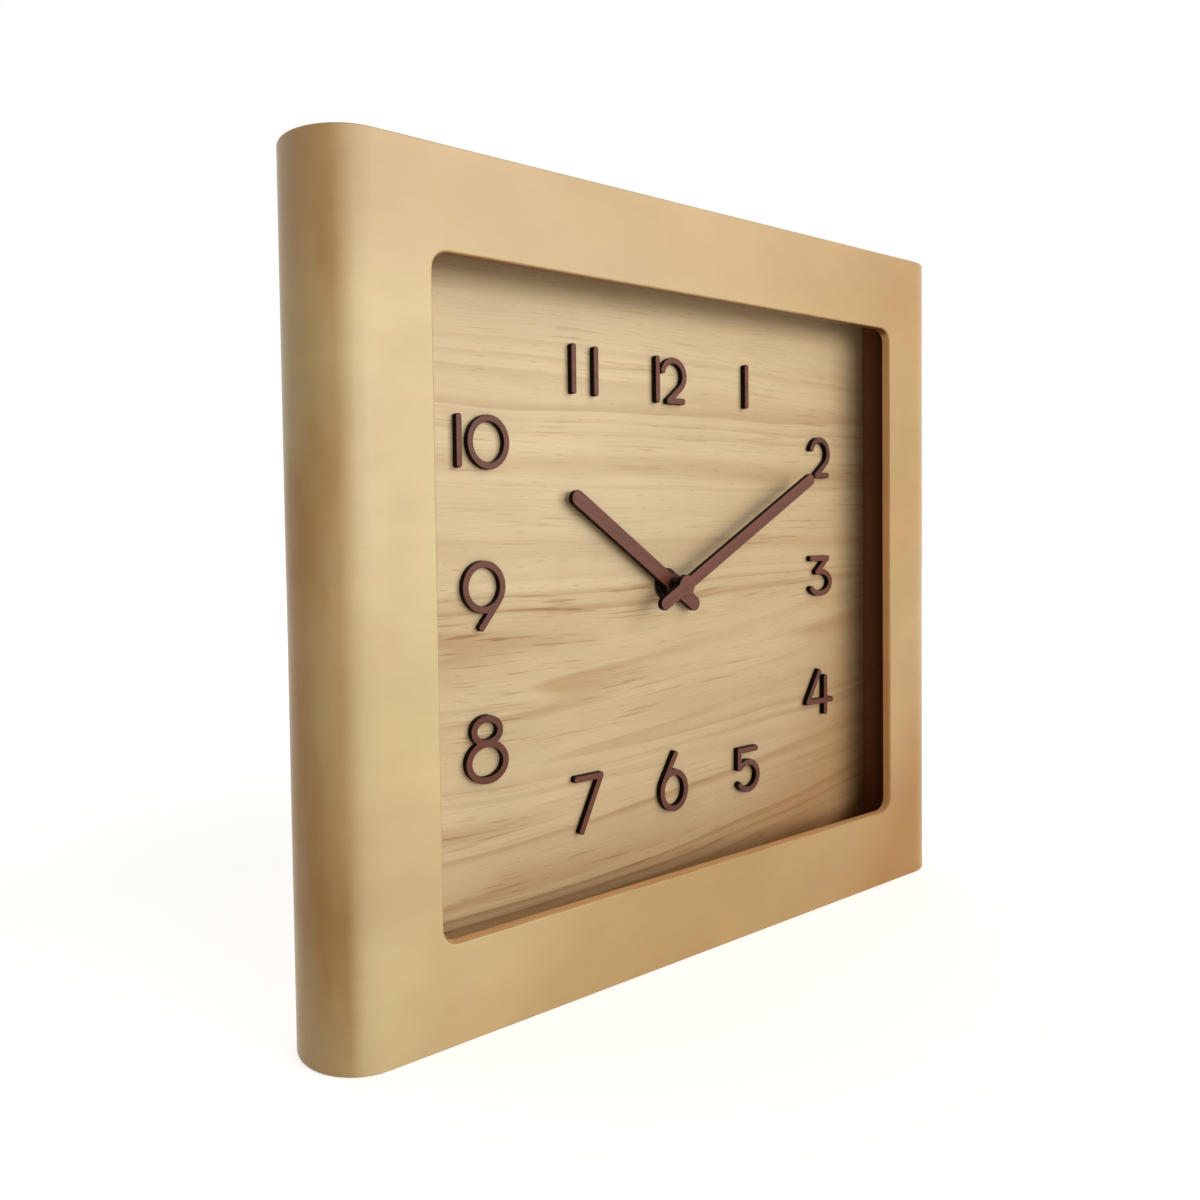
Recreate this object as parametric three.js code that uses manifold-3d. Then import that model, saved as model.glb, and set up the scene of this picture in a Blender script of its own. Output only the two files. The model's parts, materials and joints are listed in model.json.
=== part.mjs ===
// Wooden wall clock: a shallow case of bent sheet with half-round sides and a window in its front,
// a dial board with raised wooden numerals, two wooden hands, and a battery quartz movement behind.
// Millimetres. X is right as seen from the front, Y runs into the wall and Z is up. The origin is
// the middle of the case.

import * as THREE from "three";
import { mergeVertices } from "three/addons/utils/BufferGeometryUtils.js";
import Module from "manifold-3d";

const wasm = await Module();
wasm.setup();

// Case
const caseWidth = 340;
const caseHeight = 300;
const caseDepth = 42; // also the diameter of the half-round sides
const sheet = 4; // the bent sheet that makes the front, the sides and the returns at the back
const returnLength = 9; // flat stretch of each return, past the half round
const caseEdge = 0.8; // rounding of the sheet's cut ends
const sideBorder = 42.5; // of the window, to the outside of the case
const endBorder = 35;
const windowCorner = 6;
const windowEdge = 1; // rounding of the window's front edge
const endBoard = 8;
const glueLine = 0.2;

// Dial board and the rails that carry it
const dialDepth = 21.2; // the dial's face behind the front of the case
const dialThickness = 3;
const dialMargin = 0.5; // from the dial board's edge to the outside of the rails
const sideRail = 11; // width
const endRail = 12;
const railGap = 5; // between the rails and the end boards
const railSideGap = 0.5; // between the rails and the start of the half round

// Numerals
const numeralStroke = 2.6;
const numeralThickness = 2.5;
const numeralHeight = 19.4; // 1, 2, 3 and 5
const zeroWidth = 18.9;
const zeroHeight = 20;
const tallHeight = 25.4; // 6, 8 and 9
const sevenHeight = 23.3;
const fourHeight = 22.1;
const strokeEnd = 0.8; // corner radius at the end of a stroke
const columnInset = 29.5; // 8, 9, 10 and 2, 3, 4, from the window's sides
const rowInset = 30; // 11, 12, 1 and 5, 6, 7, from its top and bottom
const columnRay = 29.8; // 2, 4, 8 and 10 above and below the horizontal, in degrees
const rowRay = 29; // 1, 5, 7 and 11 beside the vertical, in degrees

// Hands, at rest at the time that they show
const shownHour = 10;
const shownMinute = 10.2;
const hourLag = 0.3; // degrees that the hour hand was pressed on behind its exact place
const axisX = -0.8; // axis of the hands, from the middle of the case
const axisZ = -0.85;
const handThickness = 2.4;
const hourReach = 66.2;
const hourTail = 17.9;
const hourWidth = 6.3;
const hourHub = 4.8; // radius
const minuteReach = 95.1;
const minuteTail = 16.8;
const minuteWidth = 5.5;
const minuteHub = 4.5; // radius
const handGap = 4.9; // between the hour hand's face and the minute hand's back
const runningGap = 0.3;
const pressGap = 0.1;
const seatGap = 0.05;
const bushFlange = 0.3; // thickness
const bushFlangeWidth = 1.2; // beyond the spigot
const bushWall = 0.7;
const bushCap = 0.3;

// Movement and what clamps it to the dial board
const movementDepth = 16;
const movementWall = 1.1;
const movementCorner = 2.5;
const stemFromTop = 20; // axis of the hands below the movement's top edge
const coverThickness = 1.2;
const coverGap = 0.25;
const stemRadius = 3.9;
const rubberWasher = 0.8;
const rubberWasherRadius = 9;
const washerThickness = 0.4;
const washerRadius = 7;
const nutThickness = 1.3;
const nutAcrossFlats = 11;
const stemPastNut = 0.1;

// Shafts of the movement
const hourPipe = 2.2; // outer radius
const minutePipe = 1.5; // outer radius
const secondsArbor = 0.35;
const pipeClearance = 0.2;
const secondsClearance = 0.25;
const arbor = 0.4;
const pivotClearance = 0.15;
const motionPost = 0.7;
const bossRadius = 1.5;

// Battery, size AA
const batteryRadius = 7;
const batteryLength = 50;
const batteryNib = 1;
const batteryNibRadius = 2.75;
const batteryGap = 0.3;
const contactStrip = 0.4;
const contactRoom = 1.9; // beyond each end of the battery

// Motor, circuit and the plate between the wheels, placed from the axis of the hands
const midPlateX = [-16, 22];
const midPlateZ = [-16, 10.5];
const midPlateCorner = 2;
const postRadius = 1.5;
const magnetRadius = 2.6;
const statorGap = 0.5;
const statorRing = 1.9;
const statorEar = 1.4; // past the coil's core
const statorLeft = [-12, -8];
const statorRight = [13.5, 17.5];
const statorPost = 1; // radius
const coilZ = 15;
const coreHeight = 3.2;
const coreGap = 0.15;
const coilFlange = 3.2; // radius
const coilWinding = 2.8; // radius
const coilEnd = 0.7; // thickness of a flange
const coilGap = 0.5;
const boardWidth = 8.7;
const boardZ = [-15, 17.5];
const boardGap = 0.7; // to the movement's wall
const boardCorner = 0.8;
const boardPostInset = 3.8; // from the board's ends
const crystalRadius = 1;
const crystalLength = 6;
const crystalZ = 3;

// Hanger at the top of the back
const battenLength = 100;
const battenHeight = 24;
const battenDrop = 8.5; // below the dial board's top edge
const battenPocket = 9; // depth of the room for the nail's head
const pocketWidth = 13;
const pocketHeight = 17;
const plateLength = 60;
const plateHeight = 18;
const plateThickness = 1.2;
const wallGap = 0.3;
const keyholeRadius = 4.3;
const keyholeSlot = 4.6; // width
const keyholeRise = 7; // from the middle of the round hole to the end of the slot

// Countersunk wood screws
const screwShank = 1.4;
const screwHead = 2.9;
const screwHeadDepth = 1.7;
const screwPoint = 2;
const screwLength = 13;
const screwClearance = 0.2;

// Places that follow from the sizes above
const front = -caseDepth / 2;
const back = caseDepth / 2;
const bendCentre = caseWidth / 2 - caseDepth / 2;
const dialFace = front + dialDepth;
const dialBack = dialFace + dialThickness;
const windowWidth = caseWidth - 2 * sideBorder;
const windowHeight = caseHeight - 2 * endBorder;
const railOuterX = bendCentre - railSideGap;
const railOuterZ = caseHeight / 2 - endBoard - railGap;
const railInnerX = railOuterX - sideRail;
const railInnerZ = railOuterZ - endRail;
const battenTop = railOuterZ - dialMargin - battenDrop;
const movementFront = dialBack + rubberWasher;
const movementBack = movementFront + movementDepth;
const movementSize = batteryLength + 2 * (contactRoom + movementWall);
const innerFace = movementFront + movementWall;
const coverFront = movementBack - coverThickness;
const movementTop = stemFromTop;
const movementBottom = stemFromTop - movementSize;
const washerFace = dialFace - washerThickness;
const nutFace = washerFace - nutThickness;
const stemEnd = nutFace - stemPastNut;
const hourBack = stemEnd - runningGap - bushFlange;
const hourFace = hourBack - handThickness;
const minuteBack = hourFace - handGap;
const minuteFace = minuteBack - handThickness;
const stemBore = hourPipe + runningGap;
const hourBore = minutePipe + pipeClearance;
const minuteBore = secondsArbor + secondsClearance;

// Wheel train. Each level is a stretch behind the movement's inner face.
const level = {
  hour: [0.5, 1.3],
  motion: [1.8, 2.6],
  cannon: [1.7, 2.7],
  magnet: [1.4, 3.2],
  stator: [1.9, 2.7],
  core: [2.7, 3.9],
  centre: [3.1, 3.8],
  thirdPinion: [3.0, 3.9],
  midPlate: [4.4, 5.2],
  board: [5.0, 5.8],
  third: [5.6, 6.3],
  secondsPinion: [5.5, 6.4],
  seconds: [6.8, 7.4],
  intermediatePinion: [6.7, 7.5],
  intermediate: [7.9, 8.5],
  rotorPinion: [7.8, 8.6],
};
const teeth = {
  cannon: 12,
  motion: 36,
  motionPinion: 10,
  hour: 40,
  centre: 60,
  thirdPinion: 8,
  third: 64,
  secondsPinion: 8,
  seconds: 40,
  intermediatePinion: 8,
  intermediate: 48,
  rotorPinion: 8,
  knob: 12,
};
const motionDistance = 8; // between the axes of each pair of wheels in mesh
const thirdDistance = 8.84;
const intermediateDistance = 6;
const rotorDistance = 5.6;
const motionAngle = 210; // direction from one axis to the next, from +X towards +Z
const thirdAngle = -75;
const intermediateAngle = 20;
const rotorAngle = 10;
const knobAngle = -100;
const toothTip = 0.8; // in modules
const toothRoot = 1.2;
const knobRadius = 4.4;
const knobGrips = 20;
const knobGripDepth = 0.35;
const knobHeight = 2.4;
const knobShaft = 0.9;
const knobWell = 0.8; // room round the knob
const arborEnd = 11.4; // behind the inner face
const bossStart = 10.4;

const TURN = 2 * Math.PI;
const radians = THREE.MathUtils.degToRad;
const behind = (offset) => innerFace + offset;
const step = ([x, z], angle, distance) => [
  x + distance * Math.cos(radians(angle)),
  z + distance * Math.sin(radians(angle)),
];
const moduleOf = (distance, a, b) => (2 * distance) / (a + b);

const axis = { centre: [0, 0] };
axis.motion = step(axis.centre, motionAngle, motionDistance);
axis.third = step(axis.centre, thirdAngle, thirdDistance);
axis.intermediate = step(axis.centre, intermediateAngle, intermediateDistance);
axis.rotor = step(axis.intermediate, rotorAngle, rotorDistance);
axis.knob = step(axis.motion, knobAngle, motionDistance);

// Closed geometry as a solid for cutting and joining.
function solidOf(geometry) {
  const bare = geometry.clone();
  Object.keys(bare.attributes)
    .filter((name) => name !== "position")
    .forEach((name) => bare.deleteAttribute(name));
  const merged = mergeVertices(bare, 1e-4);
  const index = merged.index.array;
  const triangles = [];
  for (let i = 0; i < index.length; i += 3) {
    const [a, b, c] = [index[i], index[i + 1], index[i + 2]];
    if (a !== b && b !== c && c !== a) triangles.push(a, b, c);
  }
  return new wasm.Manifold(
    new wasm.Mesh({
      numProp: 3,
      vertProperties: merged.attributes.position.array,
      triVerts: new Uint32Array(triangles),
    }),
  );
}

function geometryOf(solid) {
  const mesh = solid.getMesh();
  const geometry = new THREE.BufferGeometry();
  geometry.setAttribute("position", new THREE.BufferAttribute(mesh.vertProperties, 3));
  geometry.setIndex(new THREE.BufferAttribute(mesh.triVerts, 1));
  geometry.computeVertexNormals();
  return geometry;
}

const join = (first, ...rest) => rest.reduce((sum, other) => sum.add(other), first);
const cut = (first, ...rest) => rest.reduce((left, other) => left.subtract(other), first);

function box([x0, x1], [y0, y1], [z0, z1]) {
  const geometry = new THREE.BoxGeometry(x1 - x0, y1 - y0, z1 - z0);
  return solidOf(geometry.translate((x0 + x1) / 2, (y0 + y1) / 2, (z0 + z1) / 2));
}

// An outline drawn as seen from the front, from the depth y0 back to y1.
function plate(shape, [y0, y1], curveSegments = 8) {
  const geometry = new THREE.ExtrudeGeometry(shape, {
    depth: y1 - y0,
    bevelEnabled: false,
    curveSegments,
  });
  return solidOf(geometry.rotateX(Math.PI / 2).translate(0, y1, 0));
}

// Revolved about the line parallel to Y through x and z. The profile holds radius and depth.
function turned(profile, [x, z] = axis.centre, around = 24) {
  const points = profile.map(([r, y]) => new THREE.Vector2(r, y));
  return solidOf(new THREE.LatheGeometry(points, around).translate(x, 0, z));
}

function cylinder(radius, [y0, y1], at = axis.centre, around = 24) {
  return turned([[0, y0], [radius, y0], [radius, y1], [0, y1]], at, around);
}

function pipe(inner, outer, [y0, y1], at = axis.centre, around = 24) {
  const profile = [[inner, y0], [outer, y0], [outer, y1], [inner, y1], [inner, y0]];
  return turned(profile, at, around);
}

// Solid through rings of points, each with as many points as the next, with flat convex ends.
function loft(rings) {
  const count = rings[0].length;
  const triangles = [];
  for (let k = 0; k + 1 < rings.length; k++) {
    for (let i = 0; i < count; i++) {
      const a = k * count + i;
      const b = k * count + ((i + 1) % count);
      triangles.push(a, b, a + count, b, b + count, a + count);
    }
  }
  const last = (rings.length - 1) * count;
  for (let i = 1; i + 1 < count; i++) {
    triangles.push(0, i + 1, i, last, last + i, last + i + 1);
  }
  const geometry = new THREE.BufferGeometry();
  geometry.setAttribute("position", new THREE.Float32BufferAttribute(rings.flat(2), 3));
  geometry.setIndex(triangles);
  return solidOf(geometry);
}

// Points round a rectangle with round corners, clockwise as seen from the front.
function roundedRing(halfX, halfZ, radius, y, steps = 6) {
  const ring = [];
  [[1, -1, 0], [-1, -1, -90], [-1, 1, -180], [1, 1, -270]].forEach(([sx, sz, start]) => {
    for (let i = 0; i <= steps; i++) {
      const angle = radians(start - (90 * i) / steps);
      const x = sx * (halfX - radius) + radius * Math.cos(angle);
      ring.push([x, y, sz * (halfZ - radius) + radius * Math.sin(angle)]);
    }
  });
  return ring;
}

function roundedRectangle([x0, x1], [z0, z1], radius) {
  const shape = new THREE.Shape();
  shape.moveTo(x0 + radius, z0);
  shape.lineTo(x1 - radius, z0);
  shape.absarc(x1 - radius, z0 + radius, radius, -TURN / 4, 0);
  shape.lineTo(x1, z1 - radius);
  shape.absarc(x1 - radius, z1 - radius, radius, 0, TURN / 4);
  shape.lineTo(x0 + radius, z1);
  shape.absarc(x0 + radius, z1 - radius, radius, TURN / 4, TURN / 2);
  shape.lineTo(x0, z0 + radius);
  shape.absarc(x0 + radius, z0 + radius, radius, TURN / 2, (3 * TURN) / 4);
  return shape;
}

// The case seen from above, drawn inset from its outside. A tongue of the given half width reaches
// the back plane between the returns.
function casePlan(inset, tongue = 0) {
  const radius = caseDepth / 2 - inset;
  const shape = new THREE.Shape();
  shape.moveTo(-bendCentre, -radius);
  shape.lineTo(bendCentre, -radius);
  shape.absarc(bendCentre, 0, radius, -TURN / 4, TURN / 4);
  if (tongue > 0) {
    shape.lineTo(tongue, radius);
    shape.lineTo(tongue, back);
    shape.lineTo(-tongue, back);
    shape.lineTo(-tongue, radius);
  }
  shape.absarc(-bendCentre, 0, radius, TURN / 4, (3 * TURN) / 4);
  return shape;
}

function upright(shape, z0, z1, edge = 0) {
  const geometry = new THREE.ExtrudeGeometry(shape, {
    depth: z1 - z0 - 2 * edge,
    curveSegments: 12,
    bevelEnabled: edge > 0,
    bevelThickness: edge,
    bevelSize: edge,
    bevelOffset: -edge,
    bevelSegments: 2,
  });
  return solidOf(geometry.translate(0, 0, z0 + edge));
}

// Window through the front sheet, flared at the front so that its edge is rounded.
function windowCutter() {
  const steps = 3;
  const rings = [];
  for (let i = 0; i <= steps; i++) {
    const angle = (TURN / 4) * (i / steps);
    const spread = windowEdge * (1 - Math.sin(angle));
    const y = front + windowEdge * (1 - Math.cos(angle));
    const [halfX, halfZ] = [windowWidth / 2 + spread, windowHeight / 2 + spread];
    rings.push(roundedRing(halfX, halfZ, windowCorner + spread, y));
  }
  const [halfX, halfZ] = [windowWidth / 2, windowHeight / 2];
  const wide = [halfX + windowEdge, halfZ + windowEdge, windowCorner + windowEdge];
  rings.unshift(roundedRing(...wide, front - 1));
  rings.push(roundedRing(halfX, halfZ, windowCorner, front + sheet + 1));
  return loft(rings);
}

function caseShell() {
  const half = caseHeight / 2;
  const outside = upright(casePlan(0), -half, half, caseEdge);
  const hollow = upright(casePlan(sheet), -half - 1, half + 1);
  const opening = bendCentre - returnLength;
  const backOpening = box([-opening, opening], [back - sheet - 1, back + 1], [-half - 1, half + 1]);
  return cut(outside, hollow, backOpening, windowCutter());
}

function endBoards() {
  const half = caseHeight / 2;
  const plan = casePlan(sheet + glueLine, bendCentre - returnLength - glueLine);
  return [upright(plan, half - endBoard, half), upright(plan, -half, -half + endBoard)];
}

// Countersunk screw driven from the back, with the flat of its head at the depth of face, or the
// hole for it when there is a gap.
function screw([x, z], face, gap = 0) {
  const [shank, head] = [screwShank + gap, screwHead + gap];
  const tip = face - screwLength - gap;
  const profile = [
    [0, tip],
    [shank, tip + screwPoint],
    [shank, face - screwHeadDepth],
    [head, face],
    [head, face + gap],
    [0, face + gap],
  ];
  return turned(profile, [x, z], 12);
}

const screwHole = (at, face) => screw(at, face, screwClearance);

const dialScrews = [
  [-1, 1],
  [1, 1],
  [-1, -1],
  [1, -1],
].map(([sx, sz]) => [(sx * (railInnerX + railOuterX)) / 2, (sz * (railInnerZ + railOuterZ)) / 2]);
const plateMiddle = battenTop - battenHeight / 2;
const plateFront = back - wallGap - plateThickness;
const plateScrews = [-1, 1].map((side) => [(side * (plateLength + pocketWidth)) / 4, plateMiddle]);

function rails() {
  const depth = [front + sheet, dialFace];
  const pilots = dialScrews.map((at) => screwHole(at, dialBack));
  const wide = [-railOuterX, railOuterX];
  return [
    cut(box(wide, depth, [railInnerZ, railOuterZ]), pilots[0], pilots[1]),
    cut(box(wide, depth, [-railOuterZ, -railInnerZ]), pilots[2], pilots[3]),
    box([-railOuterX, -railInnerX], depth, [-railInnerZ, railInnerZ]),
    box([railInnerX, railOuterX], depth, [-railInnerZ, railInnerZ]),
  ];
}

function dialBoard() {
  const [halfX, halfZ] = [railOuterX - dialMargin, railOuterZ - dialMargin];
  const board = box([-halfX, halfX], [dialFace, dialBack], [-halfZ, halfZ]);
  const hole = cylinder(stemRadius + runningGap, [dialFace - 1, dialBack + 1], [axisX, axisZ]);
  return cut(board, hole, ...dialScrews.map((at) => screwHole(at, dialBack)));
}

function hangerBatten() {
  const depth = [dialBack, plateFront];
  const bottom = battenTop - battenHeight;
  const batten = box([-battenLength / 2, battenLength / 2], depth, [bottom, battenTop]);
  const [x, z] = [pocketWidth / 2, pocketHeight / 2];
  const pocketDepth = [plateFront - battenPocket, plateFront + 1];
  const pocket = box([-x, x], pocketDepth, [plateMiddle - z, plateMiddle + z]);
  return cut(batten, pocket, ...plateScrews.map((at) => screwHole(at, plateFront + plateThickness)));
}

function keyholePlate() {
  const low = plateMiddle - keyholeRise / 2;
  const high = low + keyholeRise - keyholeSlot / 2;
  const half = keyholeSlot / 2;
  const [x, z] = [plateLength / 2, plateHeight / 2];
  const shape = roundedRectangle([-x, x], [plateMiddle - z, plateMiddle + z], plateThickness * 2);
  const mouth = Math.sqrt(keyholeRadius ** 2 - half ** 2);
  const start = Math.atan2(mouth, half);
  const hole = new THREE.Path();
  hole.absarc(0, low, keyholeRadius, start, TURN / 2 - start, true);
  hole.lineTo(-half, high);
  hole.absarc(0, high, half, TURN / 2, 0, true);
  shape.holes.push(hole);
  const sheetMetal = plate(shape, [plateFront, plateFront + plateThickness], 10);
  return cut(sheetMetal, ...plateScrews.map((at) => screwHole(at, plateFront + plateThickness)));
}

// Numerals are strokes of one width, drawn round the middle of the figure.
function arc(x, z, radiusX, radiusZ, from, to, steps) {
  return Array.from({ length: steps + 1 }, (_, i) => {
    const angle = radians(from + ((to - from) * i) / steps);
    return new THREE.Vector2(x + radiusX * Math.cos(angle), z + radiusZ * Math.sin(angle));
  });
}

function strokeShape(path, width = numeralStroke, corner = strokeEnd, steps = 2) {
  const reach = width / 2;
  const cap = (end, before) => {
    const along = end.clone().sub(before).normalize();
    const across = new THREE.Vector2(-along.y, along.x);
    return [-1, 1].flatMap((side) =>
      Array.from({ length: steps + 1 }, (_, i) => {
        const turn = (TURN / 4) * (side < 0 ? i / steps : 1 - i / steps);
        return end
          .clone()
          .addScaledVector(along, corner * (Math.sin(turn) - 1))
          .addScaledVector(across, side * (reach - corner * (1 - Math.cos(turn))));
      }),
    );
  };
  const flank = (points) =>
    points.slice(1, -1).map((point, i) => {
      const into = point.clone().sub(points[i]).normalize();
      const out = points[i + 2].clone().sub(point).normalize();
      const aside = new THREE.Vector2(into.y, -into.x);
      const across = new THREE.Vector2(into.y + out.y, -into.x - out.x).normalize();
      return point.clone().addScaledVector(across, reach / across.dot(aside));
    });
  const reversed = [...path].reverse();
  return new THREE.Shape([
    ...flank(path),
    ...cap(reversed[0], reversed[1]),
    ...flank(reversed),
    ...cap(path[0], path[1]),
  ]);
}

function ringShape(x, z, halfX, halfZ) {
  const shape = new THREE.Shape();
  shape.absellipse(x, z, halfX, halfZ, 0, TURN);
  const hole = new THREE.Path();
  hole.absellipse(x, z, halfX - numeralStroke, halfZ - numeralStroke, 0, TURN);
  shape.holes.push(hole);
  return shape;
}

const halfStroke = numeralStroke / 2;
const line = (...points) => strokeShape(points.map(([x, z]) => new THREE.Vector2(x, z)));

// Point where a straight line from a point outside touches a circle, on its left or right side.
function touch([x, z], [cx, cz], radius, side) {
  const distance = Math.hypot(x - cx, z - cz);
  const angle = Math.atan2(z - cz, x - cx) + side * Math.acos(radius / distance);
  return THREE.MathUtils.radToDeg(angle);
}

// Figure with one round bowl and a straight tail that leaves it as a tangent: 6, or 9 upside down.
function bowlAndTail(bowlWidth, bowlHeight, tailX, sign) {
  const [radiusX, radiusZ] = [bowlWidth / 2, bowlHeight / 2];
  const centreZ = -tallHeight / 2 + radiusZ;
  const end = [tailX, tallHeight / 2];
  const [lineX, lineZ] = [radiusX - halfStroke, radiusZ - halfStroke];
  const angle = radians(touch(end, [0, centreZ], (lineX + lineZ) / 2, 1));
  const start = [lineX * Math.cos(angle), centreZ + lineZ * Math.sin(angle)];
  const tail = line([sign * start[0], sign * start[1]], [sign * end[0], sign * end[1]]);
  return [ringShape(0, sign * centreZ, radiusX, radiusZ), tail];
}

const figureTop = numeralHeight / 2;
const figures = {
  zero: () => [ringShape(0, 0, zeroWidth / 2, zeroHeight / 2)],
  one: () => [line([0, -figureTop], [0, figureTop])],
  two: () => {
    const radius = 6.4; // of the hook's centreline
    const hook = [-0.2, figureTop - halfStroke - radius];
    const foot = [-2.9, -figureTop + halfStroke];
    const end = touch(foot, hook, radius, 1);
    const curve = arc(...hook, radius, radius, 172, end, 16);
    return [
      strokeShape([...curve, new THREE.Vector2(...foot)]),
      line([foot[0] - halfStroke, foot[1]], [6.6, foot[1]]),
    ];
  },
  three: () => {
    const top = figureTop - halfStroke;
    const bowl = arc(0, -3.1, 7.6, 5.3, 112, -158, 16);
    return [line([-7.6, top], [6.8, top]), line([6, top + 0.4], [-3.2, 1.2]), strokeShape(bowl)];
  },
  four: () => {
    const top = fourHeight / 2;
    const bar = -4.1;
    return [
      line([-9.3, bar - 0.6], [0.5, top]),
      line([-10, bar], [10.2, bar]),
      line([4.4, top - 2.8], [4.4, -top]),
    ];
  },
  five: () => {
    const top = figureTop - halfStroke + 0.3;
    const bowl = arc(0.1, -3.2, 6.7, 6.2, 146, -156, 16);
    return [line([-6.9, top], [6.8, top]), line([-5.6, top + halfStroke], [-5.6, -0.4]), strokeShape(bowl)];
  },
  six: () => bowlAndTail(16.6, 18, 1.6, 1),
  seven: () => {
    const top = sevenHeight / 2;
    return [line([-7.7, top - halfStroke], [7.5, top - halfStroke]), line([6.6, top - 0.5], [-4.6, -top])];
  },
  eight: () => {
    const [upper, lower] = [5.8, 8.1]; // half heights of the two rings
    const rise = tallHeight / 2;
    return [ringShape(0, rise - upper, 7.1, upper), ringShape(0, lower - rise, 9.5, lower)];
  },
  nine: () => bowlAndTail(19.1, 19.4, 2, -1),
};

function figure(digit, x, z, [asideX, asideZ]) {
  const depth = [dialFace - numeralThickness, dialFace];
  const strokes = figures[digit]().map((shape) => plate(shape, depth, 14));
  return join(...strokes).translate([x + asideX, 0, z + asideZ]);
}

const columnX = windowWidth / 2 - columnInset;
const columnZ = columnX * Math.tan(radians(columnRay));
const rowZ = windowHeight / 2 - rowInset;
const rowX = rowZ * Math.tan(radians(rowRay));
// Digit, its place in the ring, and how far the glued figure sits from that place.
const numerals = {
  numeral_1: ["one", rowX, rowZ, [1, 0]],
  numeral_2: ["two", columnX, columnZ, [2.4, -1.2]],
  numeral_3: ["three", columnX, 0, [2.1, -1.4]],
  numeral_4: ["four", columnX, -columnZ, [1.3, -1.2]],
  numeral_5: ["five", rowX, -rowZ, [0.1, -1.1]],
  numeral_6: ["six", 0, -rowZ, [0.4, 0.7]],
  numeral_7: ["seven", -rowX, -rowZ, [0.3, -0.3]],
  numeral_8: ["eight", -columnX, -columnZ, [2.4, -0.7]],
  numeral_9: ["nine", -columnX, 0, [2.1, -0.3]],
  numeral_10_one: ["one", -columnX, columnZ, [-7.9, -0.6]],
  numeral_10_zero: ["zero", -columnX, columnZ, [5, -0.7]],
  numeral_11_left: ["one", -rowX, rowZ, [-5, 0.2]],
  numeral_11_right: ["one", -rowX, rowZ, [6.4, 0]],
  numeral_12_one: ["one", 0, rowZ, [-6.9, -0.6]],
  numeral_12_two: ["two", 0, rowZ, [2.5, -0.7]],
};

// The hands and the movement are drawn round their own axis and moved to their place at the end.
// Hands are flat bars with round ends and a round hub, drawn upright and turned to their time.
const minuteTurn = radians(shownMinute * 6);
const hourTurn = radians(shownHour * 30 - hourLag) + minuteTurn / 12;

function hand(reach, tail, width, hub, depth) {
  const radius = width / 2;
  const bar = strokeShape(
    [new THREE.Vector2(0, -tail), new THREE.Vector2(0, reach)],
    width,
    radius,
    5,
  );
  return plate(bar, depth).add(cylinder(hub, depth));
}

const turnHand = (solid, angle) => solid.rotate([0, THREE.MathUtils.radToDeg(angle), 0]);

function hourHand() {
  const bar = hand(hourReach, hourTail, hourWidth, hourHub, [hourFace, hourBack]);
  const hole = cylinder(hourPipe + bushWall + 2 * pressGap, [hourFace - 1, hourBack + 1]);
  return turnHand(cut(bar, hole), hourTurn);
}

function minuteHand() {
  const bar = hand(minuteReach, minuteTail, minuteWidth, minuteHub, [minuteFace, minuteBack]);
  const hole = cylinder(minutePipe + bushWall + 2 * pressGap, [minuteFace + bushWall, minuteBack + 1]);
  return turnHand(cut(bar, hole), minuteTurn);
}

function hourBush() {
  const spigot = hourPipe + bushWall + pressGap;
  const flange = pipe(hourPipe + pressGap, spigot + bushFlangeWidth, [hourBack, hourBack + bushFlange]);
  return flange.add(pipe(hourPipe + pressGap, spigot, [hourFace, hourBack]));
}

const minuteCap = minuteFace + bushWall + pressGap; // front of the blind bush
function minuteBush() {
  const spigot = minutePipe + bushWall + pressGap;
  const bore = minutePipe + pressGap;
  const rear = minuteBack + bushFlange;
  return turned([
    [0, minuteCap],
    [spigot, minuteCap],
    [spigot, minuteBack],
    [spigot + bushFlangeWidth, minuteBack],
    [spigot + bushFlangeWidth, rear],
    [bore, rear],
    [bore, minuteCap + bushCap],
    [0, minuteCap + bushCap],
  ]);
}

function fixingNut() {
  const corner = nutAcrossFlats / 2 / Math.cos(TURN / 12);
  const hexagon = arc(0, 0, corner, corner, 0, 300, 5);
  const bore = cylinder(stemRadius + pressGap, [nutFace - 1, washerFace + 1]);
  return cut(plate(new THREE.Shape(hexagon), [nutFace, washerFace]), bore);
}

const washer = (bore, rim, depth) => pipe(bore, rim, depth, axis.centre, 32);
const fixingWasher = () => washer(stemRadius + pressGap, washerRadius, [washerFace, dialFace]);
const softWasher = () => washer(stemRadius + runningGap, rubberWasherRadius, [dialBack, movementFront]);

// Toothed wheels. A tooth of the first wheel lies at its phase, and each mate is turned into mesh.
function gear(count, size, phase, [y0, y1], at) {
  const [root, tip] = [(count / 2 - toothRoot) * size, (count / 2 + toothTip) * size];
  const outline = [];
  for (let k = 0; k < count; k++) {
    [[root, -0.3], [tip, -0.13], [tip, 0.13], [root, 0.3]].forEach(([radius, share]) => {
      const angle = phase + ((k + share) * TURN) / count;
      outline.push(new THREE.Vector2(radius * Math.cos(angle), radius * Math.sin(angle)));
    });
  }
  const [x, z] = at;
  return plate(new THREE.Shape(outline), [behind(y0), behind(y1)]).translate([x, 0, z]);
}

function meshPhase([x0, z0], [x1, z1], firstCount, firstPhase, secondCount) {
  const towards = Math.atan2(z1 - z0, x1 - x0);
  const pitch = TURN / firstCount;
  const past = (((towards - firstPhase) % pitch) + pitch) % pitch;
  return towards + TURN / 2 + (past * firstCount) / secondCount + TURN / 2 / secondCount;
}

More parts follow.
